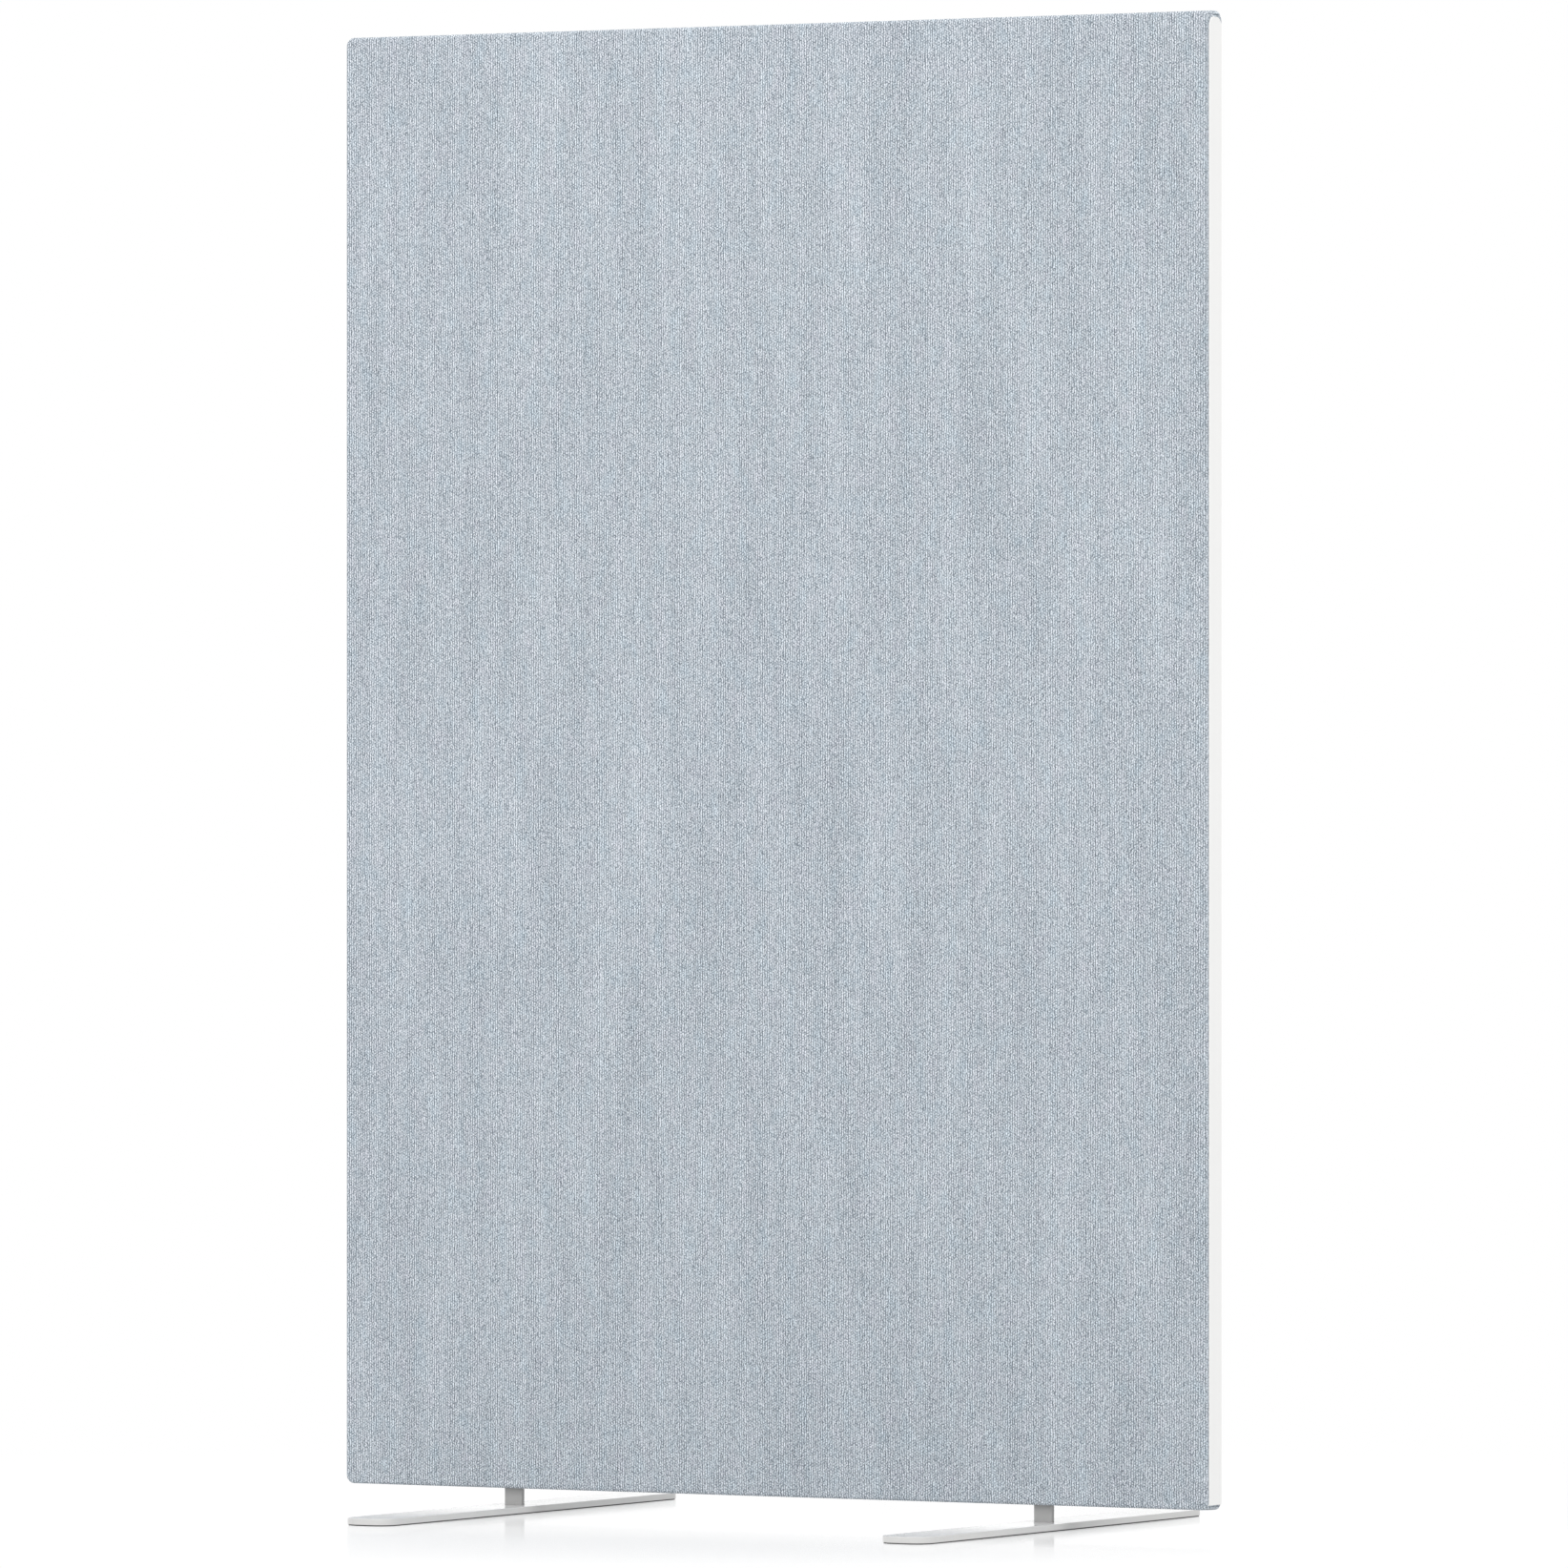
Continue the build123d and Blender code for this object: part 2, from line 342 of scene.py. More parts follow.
@dataclass(frozen=True)
class RibbedKnit:
    """Blue-grey mottled knit with upright ribs, whose stitches lie staggered from rib to rib.

    The pattern follows the cloth's own map: U runs across the ribs and V along them, in metres.
    """

    name: str = "ribbed_knit"
    rib_pitch: float = 2.68 * MM
    stitch_pitch: float = 2.69 * MM
    # The darkest colour is painted shade in the rib valleys and stitch gaps, and the palest is a painted
    # highlight on the rib crests. The ramp between them also carries random mottle.
    valley: Colour = (0.106, 0.127, 0.150)
    middle: Colour = (0.396, 0.449, 0.503)
    crest: Colour = (0.895, 0.945, 1.000)
    cool: Colour = (0.86, 1.00, 1.06)
    warm: Colour = (1.08, 0.99, 1.04)
    relief: float = 0.35 * MM
    sway: float = 0.35
    slip: float = 0.12
    rib_tone: float = 0.225
    stitch_tone: float = 0.20
    luck_tone: float = 0.04
    leg_tone: float = 0.10
    fibre_tone: float = 0.40
    edge_tone: float = 0.46
    run_tone: float = 0.08
    cloud_tone: float = 0.19
    streak_tone: float = 0.13
    tint_share: float = 1.2
    rib_height: float = 0.25
    stitch_height: float = 0.15
    luck_height: float = 0.2

    def material(self) -> bpy.types.Material:
        """Build the material.

        Returns:
            The finished material.
        """
        shader = Shader(self.name)
        cloth = shader.node("ShaderNodeUVMap", {"uv_map": Cover.uv_name}).outputs[0]
        across, along, _ = shader.numbers(cloth)
        ripple = shader.noise(shader.stretched(cloth, (1.0, 0.3, 1.0)), 160.0)
        sway = shader.noise(cloth, 30.0) * 0.5 + ripple
        ribs = across / self.rib_pitch + (sway - 0.75) * self.sway
        rib = (ribs + 0.5).floor()
        slip = shader.chance(rib, 7.0) * self.slip
        stitches = along / self.stitch_pitch + rib % 2.0 * 0.5 + slip
        stitch = (stitches + 0.5).floor()

        rib_wave = ribs.wave()
        stitch_wave = stitches.wave()
        luck = shader.chance(rib, stitch) - 0.5
        leg = shader.chance((ribs * 2.0).floor(), (stitches * 1.5).floor(), 3.0) - 0.5
        strand, level = (ribs * 3.0).floor(), (stitches * 2.7 + leg).floor()
        fibre = shader.chance(strand, level, 5.0)
        edge = fibre - shader.chance(strand + 1.0, level, 5.0)
        run = shader.noise(shader.vector(rib * 0.37, along * 60.0), 1.0, 1.0) - 0.5
        cloud = shader.noise(shader.stretched(cloth, (1.0, 0.15, 1.0)), 16.0, 3.0) - 0.5
        streak = shader.noise(shader.stretched(cloth, (1.0, 0.07, 1.0)), 70.0, 1.0) - 0.5
        # The rib and stitch waves paint shade in the valleys and a highlight on the crests, in step with
        # the bumps. The other terms are random mottle.
        tone = 0.5 + rib_wave * self.rib_tone + stitch_wave * (rib_wave * 0.5 + 0.5) * self.stitch_tone
        tone = tone + luck * self.luck_tone + leg * self.leg_tone + (fibre - 0.5) * self.fibre_tone
        tone = tone + edge * self.edge_tone + run * self.run_tone + cloud * self.cloud_tone
        tone = tone + streak * self.streak_tone
        colour = shader.ramp(tone, [(0.0, self.valley), (0.5, self.middle), (1.0, self.crest)])

        tint = shader.noise(shader.stretched(cloth, (1.0, 0.5, 1.0)), 60.0, 2.0)
        colour = shader.mixed((0.5 - tint) * self.tint_share, colour, self.cool, "MULTIPLY")
        colour = shader.mixed((tint - 0.5) * self.tint_share, colour, self.warm, "MULTIPLY")
        height = rib_wave * self.rib_height + stitch_wave * self.stitch_height
        height = height + luck * self.luck_height + 0.5
        return shader.finish(
            {
                "Base Color": colour,
                "Roughness": 0.85,
                "Specular IOR Level": 0.2,
                "Sheen Weight": 0.12,
                "Sheen Roughness": 0.5,
                "Normal": shader.bump(height, self.relief),
            }
        )


@dataclass(frozen=True)
class Thread:
    """Twisted sewing thread."""

    name: str
    colour: Colour
    twist: float = 0.6 * MM
    relief: float = 0.08 * MM

    def material(self) -> bpy.types.Material:
        """Build the material.

        Returns:
            The finished material.
        """
        shader = Shader(self.name)
        x, y, z = shader.numbers(shader.place())
        ply = ((x + y * 0.7 + z) / self.twist).wave() * 0.5 + 0.5
        shade = shader.mixed(ply * 0.35, self.colour, tuple(c * 0.6 for c in self.colour))
        normal = shader.bump(ply, self.relief)
        return shader.finish({"Base Color": shade, "Roughness": 0.7, "Normal": normal})


@dataclass(frozen=True)
class Fleece:
    """Loose fibre web: nonwoven wadding or an absorbent batt."""

    name: str
    colour: Colour
    deep: Colour
    fibre: float = 400.0
    relief: float = 0.8 * MM

    def material(self) -> bpy.types.Material:
        """Build the material.

        Returns:
            The finished material.
        """
        shader = Shader(self.name)
        place = shader.place()
        tuft = shader.noise(place, self.fibre, 4.0)
        strand = shader.noise(shader.stretched(place, (1.0, 1.0, 0.2)), self.fibre * 3.0, 2.0)
        cloud = shader.noise(place, 18.0, 3.0)
        web = (tuft * 0.5 + strand * 0.3 + cloud * 0.2).between(0.35, 0.65)
        # Painted shade: the web's hollows, where the bumps sink, get the darker colour.
        colour = shader.mixed(web, self.deep, self.colour)
        values = {"Base Color": colour, "Roughness": 0.95, "Sheen Weight": 0.2}
        values["Normal"] = shader.bump(web, self.relief)
        return shader.finish(values)


@dataclass(frozen=True)
class PlanedTimber:
    """Planed wood with growth rings and fine pores along its grain."""

    name: str
    grain: Grain
    early: Colour = (0.72, 0.53, 0.32)
    late: Colour = (0.50, 0.31, 0.15)
    ring_pitch: float = 5.0 * MM
    relief: float = 0.06 * MM

    def material(self) -> bpy.types.Material:
        """Build the material.

        Returns:
            The finished material.
        """
        shader = Shader(self.name)
        place = shader.stretched(shader.place(), self.grain.value)
        x, y, z = shader.numbers(place)
        wander = shader.noise(place, 14.0, 3.0)
        rings = ((x * 0.8 + y * 1.7 + z * 0.9) / self.ring_pitch + wander * 5.0).wave() * 0.5 + 0.5
        pores = shader.noise(shader.stretched(place, (3.0, 3.0, 3.0)), 500.0, 2.0)
        late = (rings**3.0 * 0.8 + (pores - 0.5) * 0.5).between(0.0, 1.0)
        colour = shader.mixed(late, self.early, self.late)
        rough = 0.55 + pores * 0.2
        normal = shader.bump(pores * 0.5 + rings * 0.5, self.relief)
        return shader.finish({"Base Color": colour, "Roughness": rough, "Normal": normal})


@dataclass(frozen=True)
class SatinWhite:
    """Pale even coat with a fine orange-peel surface: moulded plastic or powder paint."""

    name: str
    colour: Colour
    roughness: float
    peel_scale: float
    peel_height: float

    def material(self) -> bpy.types.Material:
        """Build the material.

        Returns:
            The finished material.
        """
        shader = Shader(self.name)
        place = shader.place()
        peel = shader.noise(place, self.peel_scale, 2.0)
        cloud = shader.noise(place, 9.0, 3.0)
        scuff = shader.noise(shader.stretched(place, (1.0, 1.0, 0.25)), 70.0, 4.0).between(0.55, 0.8)
        darker = tuple(c * 0.95 for c in self.colour)
        colour = shader.mixed(cloud * 0.5 + peel * 0.25, self.colour, darker)
        rough = self.roughness + (cloud - 0.5) * 0.1 + scuff * 0.06
        normal = shader.bump(peel, self.peel_height)
        return shader.finish({"Base Color": colour, "Roughness": rough, "Normal": normal})


@dataclass(frozen=True)
class ZincPlate:
    """Zinc-plated steel, faintly spangled, with fine draw lines."""

    name: str
    colour: Colour = (0.62, 0.63, 0.64)
    tarnished_share: float = 0.72
    relief: float = 0.02 * MM

    def material(self) -> bpy.types.Material:
        """Build the material.

        Returns:
            The finished material.
        """
        shader = Shader(self.name)
        place = shader.place()
        lines = shader.noise(shader.stretched(place, (1.0, 1.0, 0.03)), 2500.0, 2.0)
        tarnish = shader.noise(place, 60.0, 4.0).between(0.45, 0.75)
        shade = (shader.spangle(place, 220.0) * 0.4 + tarnish * 0.5).between(0.0, 1.0)
        colour = shader.mixed(shade, self.colour, tuple(c * self.tarnished_share for c in self.colour))
        values = {"Base Color": colour, "Metallic": 1.0, "Roughness": 0.3 + lines * 0.2 + tarnish * 0.15}
        values["Normal"] = shader.bump(lines, self.relief)
        return shader.finish(values)


@dataclass(frozen=True)
class SheetRubber:
    """Matt black rubber with a fine pebbled surface and a little dust."""

    name: str
    # Near black. Under the feet it also stands in for the shadow line along each foot's lower edge.
    colour: Colour = (0.055, 0.055, 0.055)
    dust: Colour = (0.15, 0.145, 0.14)
    relief: float = 0.15 * MM

    def material(self) -> bpy.types.Material:
        """Build the material.

        Returns:
            The finished material.
        """
        shader = Shader(self.name)
        place = shader.place()
        pebble = shader.noise(place, 900.0, 2.0)
        dust = shader.noise(place, 40.0, 5.0).between(0.5, 0.8)
        colour = shader.mixed(dust * 0.5, self.colour, self.dust)
        normal = shader.bump(pebble, self.relief)
        return shader.finish({"Base Color": colour, "Roughness": 0.9, "Normal": normal})


class Shaper(Graph):
    """A Geometry Nodes tree under construction, whose inputs are a mesh, its sizes and a material."""

    def __init__(self, name: str, sizes: Sequence[str]) -> None:
        """Start a tree.

        Args:
            name: The tree's name.
            sizes: Names of the numbers that go in.
        """
        super().__init__(bpy.data.node_groups.new(name, "GeometryNodeTree"))
        sockets = self.tree.interface
        sockets.new_socket("Geometry", in_out="INPUT", socket_type="NodeSocketGeometry")
        for label in sizes:
            sockets.new_socket(label, in_out="INPUT", socket_type="NodeSocketFloat")
        sockets.new_socket("Material", in_out="INPUT", socket_type="NodeSocketMaterial")
        sockets.new_socket("Geometry", in_out="OUTPUT", socket_type="NodeSocketGeometry")
        self.given = self.node("NodeGroupInput").outputs

    def number(self, label: str) -> Term:
        """A number input of the tree."""
        return Term(self, self.given[label])

    def pushed_out(self, height: Term) -> bpy.types.NodeSocket:
        """The mesh that goes in, with its points moved along their normals.

        Args:
            height: How far outwards.

        Returns:
            The moved mesh.
        """
        values = {0: self.node("GeometryNodeInputNormal").outputs[0], "Scale": height}
        offset = self.node("ShaderNodeVectorMath", {"operation": "SCALE"}, values).outputs[0]
        values = {"Geometry": self.given["Geometry"], "Offset": offset}
        return self.node("GeometryNodeSetPosition", values=values).outputs[0]

    def dress(self, geometry: bpy.types.NodeSocket) -> None:
        """End the tree: make instances real and give everything the tree's material.

        Args:
            geometry: What the tree has made.
        """
        real = self.node("GeometryNodeRealizeInstances", values={0: geometry}).outputs[0]
        values = {"Geometry": real, "Material": self.given["Material"]}
        dressed = self.node("GeometryNodeSetMaterial", values=values).outputs[0]
        self.node("NodeGroupOutput", values={0: dressed})

    def apply(self, piece: bpy.types.Object, values: dict) -> None:
        """Run the tree on a piece and keep the result as its plain mesh.

        Args:
            piece: The object whose mesh goes in.
            values: The tree's inputs, by name.
        """
        modifier = piece.modifiers.new(self.tree.name, "NODES")
        modifier.node_group = self.tree
        for item in self.tree.interface.items_tree:
            if item.in_out == "INPUT" and item.name in values:
                modifier[item.identifier] = values[item.name]
        graph = bpy.context.evaluated_depsgraph_get()
        shaped = piece.evaluated_get(graph)
        mesh = bpy.data.meshes.new_from_object(shaped, preserve_all_data_layers=True, depsgraph=graph)
        piece.modifiers.clear()
        piece.data = mesh
        mesh.name = piece.name
        mesh.materials.clear()
        mesh.materials.append(values["Material"])
        mesh.polygons.foreach_set("material_index", [0] * len(mesh.polygons))


def rib_relief_tree() -> Shaper:
    """Tree that raises upright ribs on cloth, wherever its attribute "knit" isn't 0.

    Returns:
        The tree.
    """
    tree = Shaper("rib_relief", ("Rib Pitch", "Relief", "Unevenness", "Seed"))
    point = tree.node("GeometryNodeInputPosition").outputs[0]
    x, _, _ = tree.numbers(point)
    knit = tree.node("GeometryNodeInputNamedAttribute", {"data_type": "FLOAT"}, {"Name": "knit"})
    wave = (x / tree.number("Rib Pitch")).wave() * 0.5 + 0.5
    chance = tree.node(
        "ShaderNodeTexNoise",
        {"noise_dimensions": "4D"},
        {"Vector": point, "W": tree.number("Seed"), "Scale": 90.0, "Detail": 1.0},
    )
    uneven = 1.0 + (Term(tree, chance.outputs[0]) - 0.5) * tree.number("Unevenness")
    height = wave * tree.number("Relief") * uneven * Term(tree, knit.outputs[0])
    tree.dress(tree.pushed_out(height))
    return tree


def fleece_relief_tree() -> Shaper:
    """Tree that dents a soft layer's surface inwards, by nothing up to its slack.

    Returns:
        The tree.
    """
    tree = Shaper("fleece_relief", ("Slack",))
    point = tree.node("GeometryNodeInputPosition").outputs[0]
    swell = tree.node("ShaderNodeTexNoise", {}, {"Vector": point, "Scale": 14.0, "Detail": 3.0})
    depth = Term(tree, swell.outputs[0]).between(0.3, 0.7) * tree.number("Slack") * -1.0
    tree.dress(tree.pushed_out(depth))
    return tree


def stitching_tree() -> Shaper:
    """Tree that lays thread stitches end to end along the edges of a mesh.

    Returns:
        The tree.
    """
    tree = Shaper("stitching", ("Pitch", "Stitch Length", "Thread"))
    curve = tree.node("GeometryNodeMeshToCurve", values={"Mesh": tree.given["Geometry"]}).outputs[0]
    values = {"Curve": curve, "Length": tree.number("Pitch")}
    spaced = tree.node("GeometryNodeResampleCurve", {"mode": "LENGTH"}, values).outputs[0]
    tangent = tree.node("GeometryNodeInputTangent").outputs[0]
    turned = tree.node("FunctionNodeAlignRotationToVector", {"axis": "X"}, {"Vector": tangent}).outputs[0]
    bead = tree.node("GeometryNodeMeshUVSphere", values={"Segments": 8, "Rings": 5, "Radius": 1.0})
    smooth = tree.node("GeometryNodeSetShadeSmooth", values={0: bead.outputs[0]}).outputs[0]
    half_thread = tree.number("Thread") / 2.0
    size = tree.vector(tree.number("Stitch Length") / 2.0, half_thread, half_thread)
    values = {"Points": spaced, "Instance": smooth, "Rotation": turned, "Scale": size}
    tree.dress(tree.node("GeometryNodeInstanceOnPoints", values=values).outputs[0])
    return tree


def add_piece(name: str, mesh: bpy.types.Mesh) -> bpy.types.Object:
    """Put a mesh in the scene as an object at the origin.

    Args:
        name: The piece's name.
        mesh: Its mesh.

    Returns:
        The new object.
    """
    piece = bpy.data.objects.new(name, mesh)
    bpy.context.scene.collection.objects.link(piece)
    return piece


def plain_mesh(name: str, points: Iterable[Point], faces: Iterable[Sequence[int]]) -> bpy.types.Mesh:
    """Mesh from points and faces, all smooth.

    Args:
        name: The mesh's name.
        points: Its points, in metres.
        faces: Point numbers of each face.

    Returns:
        The mesh.
    """
    mesh = bpy.data.meshes.new(name)
    mesh.from_pydata(list(points), [], list(faces))
    mesh.shade_smooth()
    return mesh


def eased(value: float) -> float:
    """Smooth step from 0 at 0 to 1 at 1."""
    share = min(max(value, 0.0), 1.0)
    return share * share * (3.0 - 2.0 * share)


def face_outwards(mesh: bpy.types.Mesh, merge: float = 1e-7) -> None:
    """Merge doubled points of a closed mesh and turn its faces outwards.

    Args:
        mesh: The mesh to mend.
        merge: Distance under which points are one.
    """
    shell = bmesh.new()
    shell.from_mesh(mesh)
    bmesh.ops.remove_doubles(shell, verts=shell.verts, dist=merge)
    bmesh.ops.recalc_face_normals(shell, faces=shell.faces)
    shell.to_mesh(mesh)
    shell.free()


def coat(nodes: Iterable[str], material: bpy.types.Material) -> None:
    """Give CAD nodes a material.

    Args:
        nodes: The nodes' names.
        material: What they get.
    """
    for node in nodes:
        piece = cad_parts[node]
        if not piece.material_slots:
            piece.data.materials.append(material)
        for slot in piece.material_slots:
            slot.material = material
        log.info("%s: %s", node, material.name)


@dataclass(frozen=True)
class Skin:
    """One side of the cloth: a slab round at its corners in elevation and along its edges."""

    half_length: float
    half_thickness: float
    bottom: float
    top: float
    corner: float
    edge: float
    seam_rows: tuple[float, ...]
    seam_depth: float
    edge_steps: int = 5
    face_steps: int = 3

    @property
    def flat(self) -> float:
        """Distance from the middle plane to where the edges' rounding starts."""
        return self.half_thickness - self.edge

    def end(self, away: float, height: float) -> float:
        """Where the skin's right end is.

        Args:
            away: Distance from the middle plane.
            height: Height above the floor.

        Returns:
            Place along the panel.
        """
        rise = max(0.0, away - self.flat)
        inner_corner = self.corner - self.edge + math.sqrt(max(self.edge**2 - rise**2, 0.0))
        over = max(0.0, self.bottom + self.corner - height, height - self.top + self.corner)
        return self.half_length - self.corner + math.sqrt(max(inner_corner**2 - over**2, 0.0))

    def section(self, x: float) -> list[tuple[float, float]]:
        """Half of the section across the panel, from the seam round the front to the top.

        Args:
            x: Place along the panel.

        Returns:
            Distances from the middle plane and heights.
        """
        middle = (self.bottom + self.top) / 2
        straight = (self.top - self.bottom) / 2 - self.corner
        over = max(0.0, abs(x) - (self.half_length - self.corner))
        turn = math.acos(1 - min(self.edge, self.corner - over) / self.edge)
        rounding = []
        for step in range(self.edge_steps + 1):
            angle = turn * step / self.edge_steps
            inner_corner = self.corner - self.edge * (1 - math.cos(angle))
            reach = math.sqrt(max(inner_corner**2 - over**2, 0.0))
            rounding.append((self.flat + self.edge * math.sin(angle), straight + reach))
        side_height = rounding[0][1]
        face, face_height = rounding[-1]
        under = middle - side_height
        rows = [(away, under + (0.0 if away else self.seam_depth)) for away in self.seam_rows]
        rows += [(away, middle - height) for away, height in rounding]
        for step in range(1, self.face_steps):
            rows.append((face, middle + face_height * (2 * step / self.face_steps - 1)))
        rows += [(away, middle + height) for away, height in reversed(rounding)]
        rows += [(self.seam_rows[-1], middle + side_height), (0.0, middle + side_height)]
        return rows


@dataclass(frozen=True)
class Opening:
    """Outline in the panel's end that an edge strip fills: upright, with rounded ends."""

    half_width: float
    bottom: float
    top: float
    bottom_radius: float
    top_radius: float

    def wider(self, margin: float) -> "Opening":
        """The same outline, wider by a margin all round."""
        return Opening(
            self.half_width + margin,
            self.bottom - margin,
            self.top + margin,
            self.bottom_radius + margin,
            self.top_radius + margin,
        )

    def ring(self, skin: Skin, x: float) -> list[tuple[float, float]]:
        """Half of the outline, with a point for each row of a skin's section.

        Args:
            skin: The skin that it ends.
            x: Place along the panel whose section gives the rows.

        Returns:
            Distances from the middle plane and heights.
        """
        steps = skin.edge_steps
        first = len(skin.seam_rows)
        rows = skin.section(x)
        half = self.half_width
        ring = [(away, self.bottom) for away in skin.seam_rows]
        for step in range(steps + 1):
            angle = math.pi / 2 * step / steps
            away = half - self.bottom_radius * (1 - math.sin(angle))
            ring.append((away, self.bottom + self.bottom_radius * (1 - math.cos(angle))))
        ring += [(half, height) for _, height in rows[first + steps + 1 : first + steps + skin.face_steps]]
        for step in reversed(range(steps + 1)):
            angle = math.pi / 2 * step / steps
            away = half - self.top_radius * (1 - math.sin(angle))
            ring.append((away, self.top - self.top_radius * (1 - math.cos(angle))))
        return ring + [(skin.seam_rows[-1], self.top), (0.0, self.top)]


@dataclass(frozen=True)
class Station:
    """A closed line round the cloth, as the front half of its points."""

    x: float
    half: list[Point]
    across: list[float]
    along: list[float]
    knit: float

    def following(self, x: float, half: list[Point]) -> "Station":
        """The next line over the same rows, laid out on the map by the distance between the two."""
        across = [u + math.dist(point, old) for u, point, old in zip(self.across, half, self.half)]
        return Station(x, half, across, self.along, 0.0)

    def mirrored(self) -> "Station":
        """The same line at the panel's other end."""
        half = [(-x, away, height) for x, away, height in self.half]
        return Station(-self.x, half, [-u for u in self.across], self.along, self.knit)


@dataclass
class Cover:
    """Ribbed cloth sleeve over the whole panel, tucked in at its ends and sewn along its underside."""

    uv_name: ClassVar[str] = "cloth"
    knit: RibbedKnit
    thickness: float = 1.0 * MM
    corner: float = 8.5 * MM
    edge: float = 3.4 * MM
    columns_to_rib: int = 4
    rib_height: float = 0.22 * MM
    unevenness: float = 0.9
    fade: float = 4.0 * MM
    seed: float = 3.0
    end_turns: tuple[float, ...] = (28.0, 38.0, 48.0, 57.0, 64.0)
    end_rise: float = 0.3 * MM
    end_pull: float = 0.6 * MM
    gather: float = 1.3 * MM
    gather_below: float = 0.7 * MM
    gather_reach: float = 16.0 * MM
    gather_full_share: float = 0.5
    gather_across_share: float = 1.5
    rim_steps: int = 3
    lining_step: float = 60.0 * MM
    strip_clearance: float = 0.1 * MM
    strip_head: float = 2.0 * MM
    strip_top_radius: float = 9.0 * MM
    strip_bottom_radius: float = 4.0 * MM
    half_web: float = 1.2 * MM
    slit_clearance: float = 0.8 * MM
    seam_edge: float = 0.7 * MM
    seam_depth: float = 0.6 * MM
    seam_allowance: float = 10.0 * MM
    thread: Thread = Thread("seam_thread", (0.30, 0.35, 0.40))
    thread_width: float = 0.55 * MM
    thread_drop_share: float = 0.3
    stitch_pitch: float = 3.2 * MM
    stitch_length: float = 2.8 * MM
    seam_row: float = 2.1 * MM
    slit_row: float = 1.5 * MM

    def __post_init__(self) -> None:
        """Read the sizes that the model gives."""
        low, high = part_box("cloth_cover")
        self.half_length, self.half_thickness = high.x, high.y
        self.bottom, self.top = low.z, high.z
        strip_low, strip_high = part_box("edge_strip_right")
        self.strip_face, self.web_end = strip_high.x, strip_low.x
        self.strip_back = self.strip_face - self.strip_head
        self.opening = Opening(
            strip_high.y, strip_low.z, strip_high.z, self.strip_bottom_radius, self.strip_top_radius
        ).wider(self.strip_clearance)
        self.tongues = [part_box(f"foot_tongue_{side.word}") for side in Side]
        self.slit_half = self.tongues[0][1].y + self.slit_clearance
        self.outer = self._skin(0.0)
        self.inner = self._skin(self.thickness)

    def _skin(self, inset: float) -> Skin:
        """One side of the cloth, whose ends are pulled in behind the strips.

        Args:
            inset: How far it is inside the outer side.

        Returns:
            The skin.
        """
        return Skin(
            self.half_length - max(inset, self.end_pull),
            self.half_thickness - inset,
            self.bottom + inset,
            self.top - inset,
            self.corner - inset,
            self.edge - inset,
            (0.0, self.seam_edge, self.slit_half),
            self.seam_depth if not inset else 0.0,
        )

    def slit_ends(self) -> list[tuple[float, float]]:
        """Where the slit for each tongue starts and ends along the panel."""
        return [(low.x - self.slit_clearance, high.x + self.slit_clearance) for low, high in self.tongues]

    def _last_column(self, skin: Skin, around: Opening) -> float:
        """Place of a skin's last column, just outside the outline that its end has."""
        drop = skin.bottom + skin.corner - around.bottom + self.end_rise
        return skin.half_length - skin.corner + math.sqrt(skin.corner**2 - drop**2)

    def _columns(self) -> list[float]:
        """Columns of the outer skin: even steps, and extra ones round the ends and at the slits' ends.

        Returns:
            Their places along the panel.
        """
        step = self.knit.rib_pitch / self.columns_to_rib
        last = self._last_column(self.outer, self.opening)
        centre, ends = self.outer.half_length - self.corner, [last]
        for turn in self.end_turns:
            ends.append(centre + self.corner * math.sin(math.radians(turn)))
        ends = [place for place in ends if place <= last]
        fixed = ends + [-place for place in ends] + [place for slit in self.slit_ends() for place in slit]
        count = int(last / step)
        grid = [number * step for number in range(-count, count + 1)]
        return sorted(fixed + [x for x in grid if all(abs(x - place) > step / 3 for place in fixed)])

    def _stations(self) -> tuple[list[Station], int]:
        """All closed lines round the cloth, from the left groove over the outer skin and back inside.

        Returns:
            The stations, and how many of them belong to the outer skin.
        """
        lining = self.opening.wider(self.thickness)
        columns = self._columns()
        last_column = columns[-1]
        last = self._last_column(self.inner, lining)
        count = round(2 * last / self.lining_step)
        spread = [last * (2 * number / count - 1) for number in range(count + 1)]
        places = [x for x in columns if any(start <= x <= end for start, end in self.slit_ends())]
        places += [x for x in spread if all(abs(x - place) > self.lining_step / 4 for place in places)]
        shown = [min(1.0, (last_column - abs(x)) / self.fade) for x in columns]
        outside = [self._column(self.outer, x, knit) for x, knit in zip(columns, shown)]
        inside = [self._column(self.inner, x, 0.0) for x in sorted(places, reverse=True)]
        outer_tuck = self._tuck(self.outer, last_column, self.opening, 0.0)
        inner_tuck = self._tuck(self.inner, last, lining, self.thickness)
        outside = [s.mirrored() for s in reversed(outer_tuck)] + outside + outer_tuck
        inside = inner_tuck[::-1] + inside + [s.mirrored() for s in inner_tuck]
        return outside + inside, len(outside)

    def _column(self, skin: Skin, x: float, knit: float) -> Station:
        """Station straight across a skin."""
        half = [(x, away, height) for away, height in skin.section(x)]
        return Station(x, half, [x] * len(half), self._run(half), knit)

